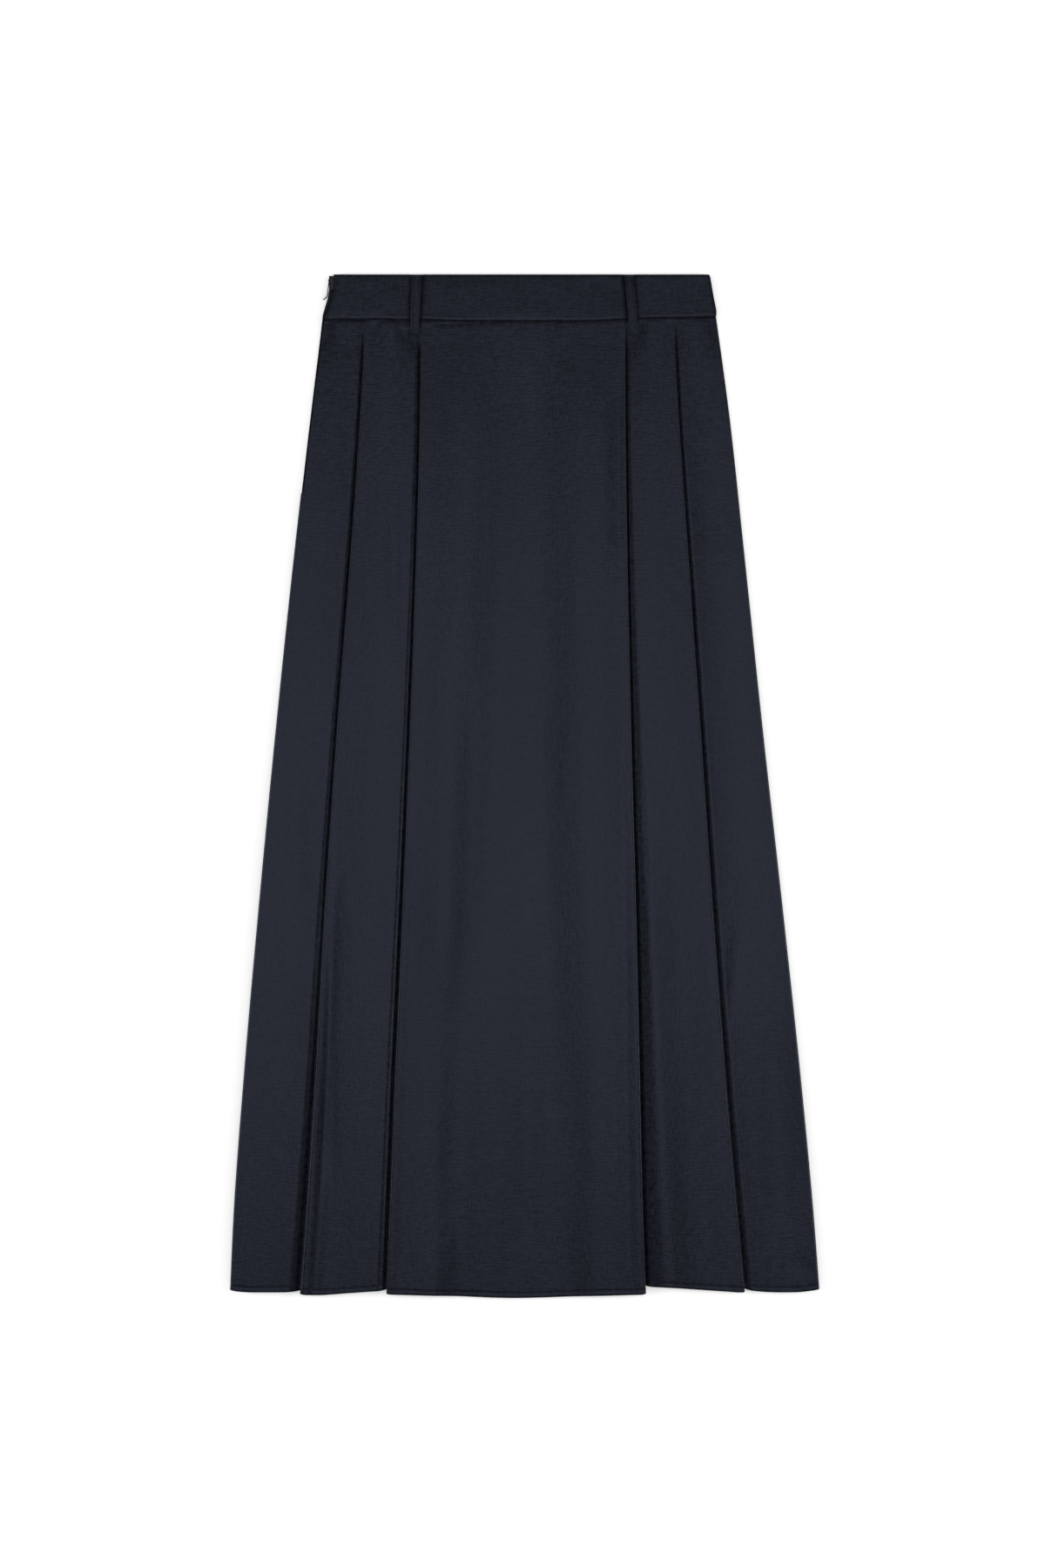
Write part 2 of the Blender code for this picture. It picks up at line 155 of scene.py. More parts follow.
# Belt loops: their slant and taper, and the arch of their middle line
LoopEnds = namedtuple("LoopEnds", "x_top x_bottom width_top width_bottom")
LOOPS = {
    "left": LoopEnds(-0.0993, -0.1015, 0.0098, 0.0078),
    "right": LoopEnds(0.0957, 0.1004, 0.0088, 0.0078),
}
LoopRow = namedtuple("LoopRow", "y z")
LOOP_ROWS = (
    LoopRow(0.4693, 0.00535),
    LoopRow(0.4665, 0.00540),
    LoopRow(0.4600, 0.00595),
    LoopRow(0.4510, 0.00620),
    LoopRow(0.4410, 0.00605),
    LoopRow(0.4335, 0.00560),
    LoopRow(0.4285, 0.00535),
    LoopRow(0.4245, 0.00510),
    LoopRow(0.4205, 0.00475),
    LoopRow(0.4175, 0.00455),
    LoopRow(0.4144, 0.00445),
)
LOOP_CLOTH = 0.0012
LOOP_COVER = 0.0004
LOOP_HALF = (0.3, 0.55, 0.66, 0.74, 0.86, 0.94, 0.985, 1)
LOOP_ACROSS = (*(-share for share in reversed(LOOP_HALF)), 0, *LOOP_HALF)
LOOP_SEWN_AT = 0.66
LOOP_GROOVE = 0.00022
LOOP_GROOVE_WIDTH = 0.12
RIB_PITCH = 0.0013
RIB_HEIGHT = 0.00006
RIBS_END = 0.58
TACK_Y = 0.4600
TACK_STEP = 0.0004
TACK_STITCHES = 14
TACK_SLANT = 0.12
TACK_LENGTH = 0.0052

# How a pressed edge sinks: over what width, and how deep
Drop = namedtuple("Drop", "width depth")
BAND_FRONT_EDGE = Drop(0.0018, 0.0006)
BAND_BACK_EDGE = Drop(0.0014, 0.0005)
BAND_BESIDE_LOOP = Drop(0.0022, 0.0011)
LOOP_EDGE = Drop(0.0012, 0.0004)

# The turned-in cloth under the waist seam: its two ends, and its rows across the seam
SEAM_STRIP_X = (-0.1842, 0.1755)
SEAM_STRIP_ACROSS = (-0.0007, 0.0, 0.0008, 0.0015)
SEAM_STRIP_Z = 0.0021
SEAM_STRIP_SLOPE = 0.5
SEAM_STRIP_CLOTH = 0.0002

# Columns of the front's mesh: distances in from the side edge, shares of a hidden layer's width, and counts
SIDE_COLUMNS = (0.0, 0.0003, 0.0006, 0.0010, 0.00135, 0.0015, 0.0020, 0.0032, 0.0048)
SIDE_PANEL_COLUMNS = 25
MIDDLE_PANEL_COLUMNS = 46
CENTRE_PANEL_COLUMNS = 58
UNDER_LAYER_COLUMNS = (0.12, 0.5, 1.0)
RETURN_LAYER_COLUMNS = (0.5, 0.9)
HIDDEN_TURN_COLUMNS = 6
FOLD_COLUMNS = 11
FOLD_COLUMNS_HIDDEN = 5

# Rows of the front's mesh, by the distance below the waist seam or above the hem
HEM_DEPTH = 0.0045
ROWS_NEAR_WAIST = (0.0, 0.0006, 0.0013, 0.0022, 0.0034, 0.005, 0.0075, 0.011)
ROWS_BETWEEN = (0.016, SKIRT_LENGTH - 0.022, 112)
ROWS_AT_ZIP_END = (ZIP_END - 0.0015, ZIP_END, ZIP_END + 0.004)
ROWS_ABOVE_HEM = (
    0.0, 0.0006, 0.0014, 0.0024, 0.0033, 0.0039, HEM_DEPTH, 0.0051, 0.0058, 0.0068, 0.0085, 0.0115, 0.016
)

# The satin shell's thickness, the hem's turned edge, and the stitches
SHELL = 0.0008
HEM_PUFF = 0.00025
HEM_PUFF_EDGE = 0.0012
STITCH_GROOVE = 0.00022
STITCH_GROOVE_WIDTH = 0.0006
Sewing = namedtuple("Sewing", "pitch length radius")
HEM_SEWING = Sewing(0.0027, 0.0021, 0.00022)
LOOP_SEWING = Sewing(0.0022, 0.0018, 0.0002)
Section = namedtuple("Section", "at size lift")
STITCH_SECTIONS = (
    Section(-0.5, 0.25, -0.9),
    Section(-0.38, 0.85, -0.2),
    Section(0.0, 1.0, 0.25),
    Section(0.38, 0.85, -0.2),
    Section(0.5, 0.25, -0.9),
)
STITCH_SIDES = 6

# Broad waves near the hem of the centre panel
Wave = namedtuple("Wave", "x_top x_hem down_from half_width height")
WAVES = (
    Wave(-0.036, -0.030, 0.430, 0.036, 0.0010),
    Wave(0.026, 0.028, 0.520, 0.030, 0.0006),
)

# Soft creases: height (a trough is below zero), spread on the left and right, and a path down the cloth
Crease = namedtuple("Crease", "panel height left_width right_width path")
CREASES = (
    Crease(
        "centre", -0.0006, 0.017, 0.011,
        ((-0.0485, 0.160), (-0.0565, -0.058), (-0.0621, -0.312), (-0.0730, -0.400)),
    ),
    Crease("centre", -0.0013, 0.018, 0.016, ((-0.0740, -0.140), (-0.0740, -0.330), (-0.0780, -0.455))),
    Crease("centre", -0.0004, 0.012, 0.014, ((0.0059, -0.160), (0.0035, -0.330), (0.0019, -0.455))),
    Crease("centre", -0.0002, 0.010, 0.012, ((0.0525, -0.160), (0.0480, -0.300), (0.0460, -0.390))),
    Crease("centre", -0.00010, 0.005, 0.004, ((0.0380, -0.133), (0.0715, -0.153))),
    Crease("centre", -0.00008, 0.004, 0.005, ((0.0450, -0.118), (0.0680, -0.134))),
    Crease("centre", -0.0003, 0.0009, 0.0012, ((-0.0840, 0.4242), (-0.0360, 0.4246))),
    Crease("centre", -0.0005, 0.009, 0.003, ((0.0868, 0.395), (0.0866, 0.300), (0.0868, 0.190))),
    Crease("left_middle", -0.0006, 0.0028, 0.0022, ((-0.1200, 0.4225), (-0.1090, 0.4150), (-0.0950, 0.4065))),
    Crease("left_middle", 0.0007, 0.0030, 0.0030, ((-0.1035, 0.4110), (-0.0980, 0.4100))),
    Crease("left_middle", -0.0006, 0.0013, 0.0013, ((-0.1078, 0.4126), (-0.0960, 0.4122))),
    Crease("right_middle", -0.0006, 0.0013, 0.0013, ((0.0952, 0.4126), (0.1062, 0.4126))),
    Crease("left_middle", -0.0005, 0.009, 0.006, ((-0.1250, 0.395), (-0.1215, 0.250), (-0.1190, 0.110))),
    Crease("left_middle", -0.0010, 0.010, 0.010, ((-0.1795, -0.060), (-0.1840, -0.250), (-0.1880, -0.400))),
    Crease("right_middle", -0.0003, 0.003, 0.003, ((0.1075, 0.030), (0.1139, -0.110))),
    Crease("right_side", -0.0005, 0.018, 0.018, ((0.1600, 0.410), (0.1680, 0.300), (0.1740, 0.200))),
    Crease("right_side", -0.0004, 0.006, 0.007, ((0.1970, -0.120), (0.1880, -0.220))),
    Crease("right_side", -0.0006, 0.012, 0.014, ((0.2270, -0.200), (0.2320, -0.310), (0.2370, -0.430))),
    Crease("right_side", -0.0003, 0.006, 0.005, ((0.2430, -0.425), (0.2650, -0.452))),
    Crease("left_side", -0.0004, 0.010, 0.009, ((-0.2110, 0.020), (-0.2100, -0.120))),
)

# How a panel rises out of the valley beside the fold that lies on it, and the slit along that fold
Valley = namedtuple(
    "Valley", "panel fold width_at_waist width_at_hem lift_at_waist lift_at_hem steep_at_fold"
)
VALLEYS = (
    Valley("left_side", "left_outer", 0.0038, 0.0110, 0.0010, 0.0034, 0.0),
    Valley("left_middle", "left_inner", 0.0052, 0.0095, 0.0013, 0.0038, 0.0),
    Valley("right_middle", "right_inner", 0.0044, 0.0280, 0.0010, 0.0060, 1.0),
    Valley("right_side", "right_outer", 0.0036, 0.0070, 0.0009, 0.0024, 0.0),
)
VALLEY_WIDENING = 1.5
VALLEY_LENGTH = 0.045
FOLD_SLIT = 0.0005
FOLD_SLIT_WIDTH_AT_WAIST = 0.0016
FOLD_SLIT_WIDTH_AT_HEM = 0.0034
FOLD_SLIT_LENGTH = 0.03

# The side panels' shallow bowl, and the roll of their outer edge
SIDE_BOWL = 0.052
SIDE_BOWL_LIFTS = {"left": 0.0023, "right": 0.0040}
SIDE_BOWL_SINKS = {"left": 0.0006, "right": 0.0034}
SIDE_BOWL_LENGTH = 0.2
SIDE_ROLL = 0.0014
SIDE_DROP = 0.0013
SIDE_DROP_LENGTH = 0.01

# A narrow dip inside a rolled fold: where it runs, how wide and deep, and where it begins and is full-grown
Groove = namedtuple("Groove", "panel fold inset_at_start inset_at_hem width depth down_from grown_at")
GROOVE = Groove("left_middle", "left_outer", 0.0060, 0.0112, 0.0034, 0.0006, 0.420, 0.7)

# Uneven relief of the cloth: the size of its blobs, the seed and the height
Blobs = namedtuple("Blobs", "size_x size_y seed height")
FRONT_BLOBS = (
    Blobs(0.052, 0.240, 8, 0.00022),
    Blobs(0.019, 0.110, 2, 0.00007),
    Blobs(0.006, 0.040, 3, 0.00003),
)
BAND_BLOBS = (
    Blobs(0.034, 0.024, 11, 0.00016),
    Blobs(0.012, 0.015, 12, 0.00008),
)
NOISE_TABLE = 64
NOISE_SHIFT = Point(17.3, 9.1)
FRONT_LIFT = 0.0004
FRONT_LIFT_LENGTH = 0.11
CENTRE_PUFF = 0.0006
CENTRE_PUFF_WIDTH = 0.03

# Near the waist seam: small puckers, the centre panel's rise to the pleats' level, and the tuck at the band
PUCKERS = Blobs(0.0085, 0.5, 4, 0.00045)
PUCKER_LENGTH = 0.022
PUCKER_START = 0.004
PUCKER_LESS_IN_CENTRE = 0.85
SEAM_RISE = 0.5
SEAM_RISE_LENGTH = 0.10
SEAM_RISE_LEVEL = LOW + 2 * HIDDEN_RADIUS + 2 * SHELF_RADIUS_AT_WAIST
SEAM_TUCK = 0.0005
SEAM_TUCK_LENGTH = 0.0008

# The cloth's looks. A noise scale is given across the skirt, along it, and off the table
SatinLook = namedtuple("SatinLook", "deep light roughness specular weave")
NAVY_SATIN = SatinLook((0.0033, 0.0038, 0.0056), (0.0047, 0.0054, 0.0079), 0.32, 0.136, 0.5)
# The band's satin is the skirt's satin made about an eighth darker: partly painted shade, partly the look of
# the interfaced band
NAVY_BAND = SatinLook((0.0029, 0.0033, 0.0049), (0.0041, 0.0047, 0.0069), 0.33, 0.142, 0.6)
GLEAM = (0.62, 0.71, 1.0, 1)
SHEEN = (0.45, 0.5, 0.7, 1)
TONE_PATCHES = (14, 4, 14)
WEFT_SLUBS = (150, 560, 150)
WARP_SLUBS = (560, 150, 560)
FINE_THREADS = (1900, 420, 1900)
SOFT_DENTS = (90, 30, 90)
Ranges = namedtuple("Ranges", "from_min from_max to_min to_max")
SLUB_TONE = Ranges(0.72, 1.28, 0.20, 1.80)
EDGE_ON_DULLNESS = Ranges(0.25, 0.65, 0.0, 0.5)
GLOSS_SPREAD = 0.05

# Looks of thread, tape, coil, metal and floor, which vary a little round one colour and roughness
PlainLook = namedtuple("PlainLook", "colour roughness metallic bump_scale bump_depth specular")
NAVY_THREAD = PlainLook((0.0040, 0.0060, 0.0120), 0.60, 0.0, 900, 0.00005, 0.09)
BLACK_TAPE = PlainLook((0.0040, 0.0044, 0.0056), 0.6, 0.0, 1500, 0.00008, 0.08)
BLACK_COIL = PlainLook((0.0050, 0.0054, 0.0066), 0.45, 0.0, 800, 0.00003, 0.13)
BLACK_METAL = PlainLook((0.0070, 0.0074, 0.0092), 0.35, 0.4, 500, 0.00003, 0.25)
PALE_FLOOR = PlainLook((0.96, 0.96, 0.96), 0.9, 0.0, 3, 0.0001, 0.1)
PLAIN_TONE_SPREAD = 0.1
PLAIN_GLOSS_SPREAD = 0.06

# The floor, the lights and the camera, which sees 0.96 by 1.44 metres of the table
FLOOR_HALF = 6.0
FLOOR_Z = -0.0003
FLOOR_GLOW = 0.14
WORLD_LIGHT = 0.54
LightBox = namedtuple("LightBox", "name place power")
LIGHT_BOXES = (
    LightBox("left_box", (-3.4, 0.0, 1.25), 68),
    LightBox("right_box", (3.4, 0.0, 1.25), 73),
    LightBox("top_box", (0.02, -0.07, 3.7), 32),
)
LIGHT_BOX_SIZE = 1.6
CAMERA_X = -0.0021
CAMERA_Y = 0.0020
VIEW_HEIGHT = 1.44
SEEN_SURFACE_Z = 0.003
LENS_MM = 85
SENSOR_MM = 36


def ease(t):
    """Runs from 0 to 1 with no corner at either end."""
    t = np.clip(t, 0.0, 1.0)
    return t * t * (3 - 2 * t)


def mix(a, b, t):
    """Goes from a to b as t goes from 0 to 1."""
    return a + (b - a) * t


def through(x, xs, ys):
    """A smooth curve through the points (xs, ys), read at x."""
    xs = np.asarray(xs, float)
    ys = np.asarray(ys, float)
    x = np.clip(x, xs[0], xs[-1])
    slopes = np.gradient(ys, xs)
    i = np.clip(np.searchsorted(xs, x) - 1, 0, len(xs) - 2)
    step = xs[i + 1] - xs[i]
    t = (x - xs[i]) / step
    return (
        (2 * t**3 - 3 * t**2 + 1) * ys[i]
        + (t**3 - 2 * t**2 + t) * step * slopes[i]
        + (3 * t**2 - 2 * t**3) * ys[i + 1]
        + (t**3 - t**2) * step * slopes[i + 1]
    )


def along(column, down):
    """The x of a side edge or a fold edge at a distance below the waist seam."""
    return through(down, [row.down for row in STATIONS], [getattr(row, column) for row in STATIONS])


def seam_y(x):
    """The waist seam's y at x."""
    return np.interp(x, [point.x for point in SEAM], [point.y for point in SEAM])


def noise(x, y, blobs):
    """Smooth relief over the plane, with blobs of the given size and height."""
    table = np.random.RandomState(blobs.seed).uniform(-1, 1, (NOISE_TABLE, NOISE_TABLE))
    u = x / blobs.size_x + NOISE_SHIFT.x
    v = y / blobs.size_y + NOISE_SHIFT.y
    i = np.floor(u).astype(int)
    j = np.floor(v).astype(int)

    def corner(a, b):
        return table[(i + a) % NOISE_TABLE, (j + b) % NOISE_TABLE]

    low = mix(corner(0, 0), corner(1, 0), ease(u - i))
    high = mix(corner(0, 1), corner(1, 1), ease(u - i))
    return blobs.height * mix(low, high, ease(v - j))


def spread(count, start, end):
    """Steps from 0 to 1 that are drawn closer together at the start and the end."""
    t = np.linspace(0, 1, count)
    near_start = t - start * np.sin(np.pi * t) / np.pi * (1 - t)
    return near_start + end * np.sin(np.pi * t) / np.pi * t


class Grid:
    """Rows and columns of points, each column's panel or None, and each row's distance below the seam."""

    def __init__(self, x, y, z, panels, down):
        self.x = x
        self.y = y
        self.z = z
        self.panels = panels
        self.down = down

    def mask(self, name):
        """1 on one panel, 0 elsewhere."""
        return np.array([panel == name for panel in self.panels], float)[None, :]

    def shown(self):
        """1 on what shows, 0 on hidden layers."""
        return np.array([panel is not None for panel in self.panels], float)[None, :]


# A run of neighbouring columns: how far out from the middle of the skirt, how high, and on which panel
Strip = namedtuple("Strip", "out z panel")


def swell(down, share):
    """The cloth's fullness just below the waist seam, across the low part of a panel."""
    return SWELL * (1 - ease(down / SWELL_LENGTH)) * ease(3 * np.minimum(share, 1 - share))


def pleat_strips(down, fold, pleat, panel, end):
    """One pleat's layers: under the fold, back out to its edge, and over the panel on top as far as end."""
    to_middle = panel == "centre"
    share = down / SKIRT_LENGTH
    depth = mix(pleat.depth_at_waist, pleat.depth_at_hem, share)
    fall = mix(pleat.fall_at_waist, pleat.fall_at_hem, share)
    shelf_radius = mix(SHELF_RADIUS_AT_WAIST, SHELF_RADIUS_AT_HEM, share)
    grown = ease((down - pleat.rolls_from) / (SKIRT_LENGTH - pleat.rolls_from))
    radius = mix(shelf_radius, pleat.roll_at_hem, grown)
    middle = LOW + 2 * HIDDEN_RADIUS
    roll_z = middle + 2 * radius
    shelf_z = middle + 2 * shelf_radius
    hidden = fold - depth + HIDDEN_RADIUS
    edge = fold - CLOTH / 2 - radius

    under = mix(fold, hidden, np.array(UNDER_LAYER_COLUMNS)[None, :])
    turn = np.linspace(0, np.pi, HIDDEN_TURN_COLUMNS)[None, 1:]
    turn_out = hidden - HIDDEN_RADIUS * np.sin(turn)
    turn_z = LOW + HIDDEN_RADIUS * (1 - np.cos(turn)) + 0 * down
    back_out = mix(hidden, edge, np.array(RETURN_LAYER_COLUMNS)[None, :])
    roll = np.linspace(0, np.pi, FOLD_COLUMNS)[None, :]
    roll_out = edge + radius * np.sin(roll)
    roll_up = middle + radius * (1 - np.cos(roll))

    # The middle of the skirt has a column of its own, so the centre panel stops one short of it
    if to_middle:
        steps = spread(CENTRE_PANEL_COLUMNS, 0.75, 0.0)[None, 1:-1]
    else:
        steps = spread(MIDDLE_PANEL_COLUMNS, 0.75, 0.5)[None, 1:]
    top = mix(edge, end, steps)
    low_start = fold - depth - SHELF_PAST_FOLD - fall
    z = LOW + (shelf_z - LOW) * ease((top - low_start) / fall)
    if not to_middle:
        z = z + swell(down, np.clip((low_start - top) / (low_start - end), 0, 1))
    z = z + (roll_z - shelf_z) * ease(1 - (edge - top) / (pleat.roll_width * radius))
    return [
        Strip(under, np.full_like(under, LOW), None),
        Strip(turn_out, turn_z, None),
        Strip(back_out, np.full_like(back_out, middle), None),
        Strip(roll_out[:, :FOLD_COLUMNS_HIDDEN], roll_up[:, :FOLD_COLUMNS_HIDDEN], None),
        Strip(roll_out[:, FOLD_COLUMNS_HIDDEN:], roll_up[:, FOLD_COLUMNS_HIDDEN:], panel),
        Strip(top, z, panel),
    ]


def half_front(side, down):
    """One half of the front wall's middle line at each row, from its side edge to the middle of the skirt."""
    side_edge = np.abs(along(side, down))
    if side == "left":
        side_edge = side_edge - ZIP_INSET * (down < ZIP_END)
    outer_fold = np.abs(along(side + "_outer", down))
    inner_fold = np.abs(along(side + "_inner", down))
    rim = side_edge - np.array(SIDE_COLUMNS)[None, :]
    inward = mix(rim[:, -1:], outer_fold, spread(SIDE_PANEL_COLUMNS, 0.2, 0.6)[None, 1:])
    reach = np.concatenate([rim, inward], axis=1)
    side_z = LOW + swell(down, (side_edge - reach) / (side_edge - outer_fold))
    strips = [Strip(reach, side_z, side + "_side")]
    strips += pleat_strips(down, outer_fold, PLEATS[side + "_outer"], side + "_middle", inner_fold)
    strips += pleat_strips(down, inner_fold, PLEATS[side + "_inner"], "centre", 0 * down)
    out = np.concatenate([strip.out for strip in strips], axis=1)
    z = np.concatenate([strip.z for strip in strips], axis=1)
    panels = [strip.panel for strip in strips for _ in range(strip.out.shape[1])]
    return out, z, panels


def hem_rises(x, panels):
    """How far each column's hem lies above the lowest point. Hidden layers run evenly between the panels."""
    places, rises = [], []
    for name, hem in HEMS.items():
        own = [i for i, panel in enumerate(panels) if panel == name]
        low, high = x[own].min(), x[own].max()
        width = high - low
        t = (x[own] - low) / width
        corners = np.exp(-t * width / HEM_CORNER_WIDTH) + np.exp(-(1 - t) * width / HEM_CORNER_WIDTH)
        places += own
        rises += list(through(t, [0, 0.25, 0.5, 0.75, 1], hem) + HEM_CORNER_RISE * corners)
    order = np.argsort(places)
    return np.interp(np.arange(len(x)), np.array(places)[order], np.array(rises)[order])


def front_grid():
    """The front wall's middle surface, with fine rows at the waist seam and the hem."""
    rows_at_hem = [SKIRT_LENGTH - above for above in ROWS_ABOVE_HEM]
    rows = sorted([*ROWS_NEAR_WAIST, *np.linspace(*ROWS_BETWEEN), *ROWS_AT_ZIP_END, *rows_at_hem])
    down = np.array(rows)[:, None]
    left_out, left_z, left_panels = half_front("left", down)
    right_out, right_z, right_panels = half_front("right", down)
    x = np.concatenate([-left_out, 0 * down, right_out[:, ::-1]], axis=1)
    z = np.concatenate([left_z, LOW + 0 * down, right_z[:, ::-1]], axis=1)
    panels = left_panels + ["centre"] + right_panels[::-1]
    top = seam_y(x[0]) - SEAM_GAP
    bottom = HEM_Y + hem_rises(x[-1], panels)
    y = mix(top[None, :], bottom[None, :], down / SKIRT_LENGTH)
    return Grid(x, y, z, panels, down)


def wave_height(grid, wave):
    """A broad ridge on the centre panel that grows towards the hem."""
    middle = mix(wave.x_top, wave.x_hem, grid.down / SKIRT_LENGTH)
    off = np.abs(grid.x - middle) / wave.half_width
    grown = ease((grid.down - wave.down_from) / (SKIRT_LENGTH - wave.down_from))
    return wave.height * grown * ease(1 - off) * grid.mask("centre")


def crease_height(grid, crease):
    """A trough or ridge that follows a path of straight runs, and fades out at both ends."""
    runs = list(zip(crease.path[:-1], crease.path[1:]))
    whole = sum(math.dist(a, b) for a, b in runs)
    nearest = np.full(grid.x.shape, 1.0)
    off = np.zeros_like(grid.x)
    travel = np.zeros_like(grid.x)
    before = 0.0
    for (ax, ay), (bx, by) in runs:
        length = math.dist((ax, ay), (bx, by))
        ux, uy = (bx - ax) / length, (by - ay) / length
        t = (grid.x - ax) * ux + (grid.y - ay) * uy
        side = (grid.x - ax) * uy - (grid.y - ay) * ux
        distance = np.hypot(side, t - np.clip(t, 0, length))
        closer = distance < nearest
        nearest = np.where(closer, distance, nearest)
        off = np.where(closer, side, off)
        travel = np.where(closer, before + t, travel)
        before += length
    width = np.where(off > 0, crease.left_width, crease.right_width)
    reach = travel / whole
    fade = ease(reach * 4) * ease((1 - reach) * 4)
    return crease.height * np.exp(-((nearest / width) ** 2)) * fade * grid.mask(crease.panel)


def beyond(grid, fold):
    """How far each point lies outside a fold edge. It is below zero inside."""
    return np.abs(grid.x) - np.abs(along(fold, grid.down))


def valley_height(grid, valley):
    """The rise beside a fold with a slit along it, and on a side panel the bowl and the rolled outer edge."""
    share = grid.down / SKIRT_LENGTH
    off = beyond(grid, valley.fold)
    width = mix(valley.width_at_waist, valley.width_at_hem, share**VALLEY_WIDENING)
    steep = 1 - (1 - np.clip(off / width, 0, 1)) ** 2
    climb = mix(ease(off / width), steep, valley.steep_at_fold)
    lift = mix(valley.lift_at_waist, valley.lift_at_hem, share) * ease(grid.down / VALLEY_LENGTH)
    slit_width = mix(FOLD_SLIT_WIDTH_AT_WAIST, FOLD_SLIT_WIDTH_AT_HEM, share)
    slit = FOLD_SLIT * np.exp(-((off / slit_width) ** 2)) * ease(grid.down / FOLD_SLIT_LENGTH)
    height = lift * climb - slit
    side, part = valley.panel.split("_")
    if part == "middle":
        pleat = PLEATS[side + "_outer"]
        past = mix(pleat.depth_at_waist, pleat.depth_at_hem, share) + SHELF_PAST_FOLD
        fall = mix(pleat.fall_at_waist, pleat.fall_at_hem, share)
        height *= 1 - ease((fall + past + beyond(grid, side + "_outer")) / fall)
    else:
        to_edge = np.abs(along(side, grid.down)) - np.abs(grid.x)
        far = np.maximum(off, 0) / SIDE_BOWL
        bowl = SIDE_BOWL_LIFTS[side] * far**2 - SIDE_BOWL_SINKS[side] * far
        height += bowl * ease(grid.down / SIDE_BOWL_LENGTH)
        height -= SIDE_DROP * np.clip(1 - to_edge / SIDE_ROLL, 0, 1) * ease(grid.down / SIDE_DROP_LENGTH)
    return height * grid.mask(valley.panel)


def groove_height(grid, groove):
    """A narrow dip inside a rolled fold, which grows towards the hem."""
    whole = SKIRT_LENGTH - groove.down_from
    grown = ease((grid.down - groove.down_from) / (groove.grown_at * whole))
    inset = mix(groove.inset_at_start, groove.inset_at_hem, grown)
    off = -beyond(grid, groove.fold) - inset
    return -groove.depth * grown * np.exp(-((off / groove.width) ** 2)) * grid.mask(groove.panel)


def soft_height(grid):
    """The cloth's unevenness and the fullness of the centre panel."""
    soft = sum(noise(grid.x, grid.y, blobs) for blobs in FRONT_BLOBS)
    inside = np.minimum(-beyond(grid, "left_inner"), -beyond(grid, "right_inner"))
    puff = CENTRE_PUFF * ease(inside / CENTRE_PUFF_WIDTH) * grid.mask("centre")
    return (soft + puff + FRONT_LIFT) * grid.shown() * ease(grid.down / FRONT_LIFT_LENGTH)


def pucker_height(grid):
    """Small puckers below the waist seam, faint on the centre panel."""
    fade = np.exp(-((grid.down / PUCKER_LENGTH) ** 2))
    pucker = noise(grid.x, grid.y, PUCKERS) * fade * ease(grid.down / PUCKER_START)
    return pucker * (grid.shown() - PUCKER_LESS_IN_CENTRE * grid.mask("centre"))


def hem_height(grid):
    """The turned hem is a little thicker, with a groove where it is sewn."""
    above = SKIRT_LENGTH - grid.down
    puff = HEM_PUFF * ease((HEM_DEPTH - above) / HEM_PUFF_EDGE) * ease(above / 0.0009 + 0.2)
    groove = -STITCH_GROOVE * np.exp(-(((above - HEM_DEPTH) / STITCH_GROOVE_WIDTH) ** 2))
    return (puff + groove) * grid.shown()


def seam_rise_height(grid):
    """The centre panel rises towards the waist seam, halfway to the level of the pleats beside it."""
    rise = SEAM_RISE * (1 - ease(grid.down / SEAM_RISE_LENGTH))
    return rise * (SEAM_RISE_LEVEL - grid.z) * grid.mask("centre")


def add_front_relief(grid):
    """Waves, creases, valleys, the hem's fold and the seam's dip, all as height on the panels that show."""
    height = sum(wave_height(grid, wave) for wave in WAVES)
    height += sum(crease_height(grid, crease) for crease in CREASES)
    height += sum(valley_height(grid, valley) for valley in VALLEYS)
    height += groove_height(grid, GROOVE)
    height += soft_height(grid)
    height += pucker_height(grid)
    height += hem_height(grid)
    height += seam_rise_height(grid)
    height -= SEAM_TUCK * np.exp(-grid.down / SEAM_TUCK_LENGTH) * grid.shown()
    grid.z = grid.z + height


def new_mesh(name, points, faces):
    """A smooth mesh from points and faces."""
    mesh = bpy.data.meshes.new(name)
    mesh.from_pydata(points, [], faces)
    mesh.shade_smooth()
    return mesh


def grid_mesh(name, x, y, z):
    """A mesh of four-sided faces over rows and columns of points."""
    rows, columns = x.shape
    points = np.stack([x, y, z], axis=-1).reshape(-1, 3)
    index = np.arange(rows * columns).reshape(rows, columns)
    corners = [index[:-1, :-1], index[1:, :-1], index[1:, 1:], index[:-1, 1:]]
    return new_mesh(name, points.tolist(), np.stack(corners, axis=-1).reshape(-1, 4).tolist())


def add_piece(mesh, material, slot, body, *nodes):
    """Adds a mesh as a piece with the mesh's name, on a body, with a finish, in place of any CAD nodes."""
    obj = bpy.data.objects.new(mesh.name, mesh)
    bpy.context.scene.collection.objects.link(obj)
    mesh.materials.append(material)
    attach(obj, body)
    if nodes:
        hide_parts(*nodes)
    return obj


def thicken(obj, thick, offset=0.0):
    """Gives a surface its thickness: on both sides of it, or only under it where offset is -1."""
    solidify = obj.modifiers.new("thickness", "SOLIDIFY")
    solidify.thickness = thick
    solidify.offset = offset


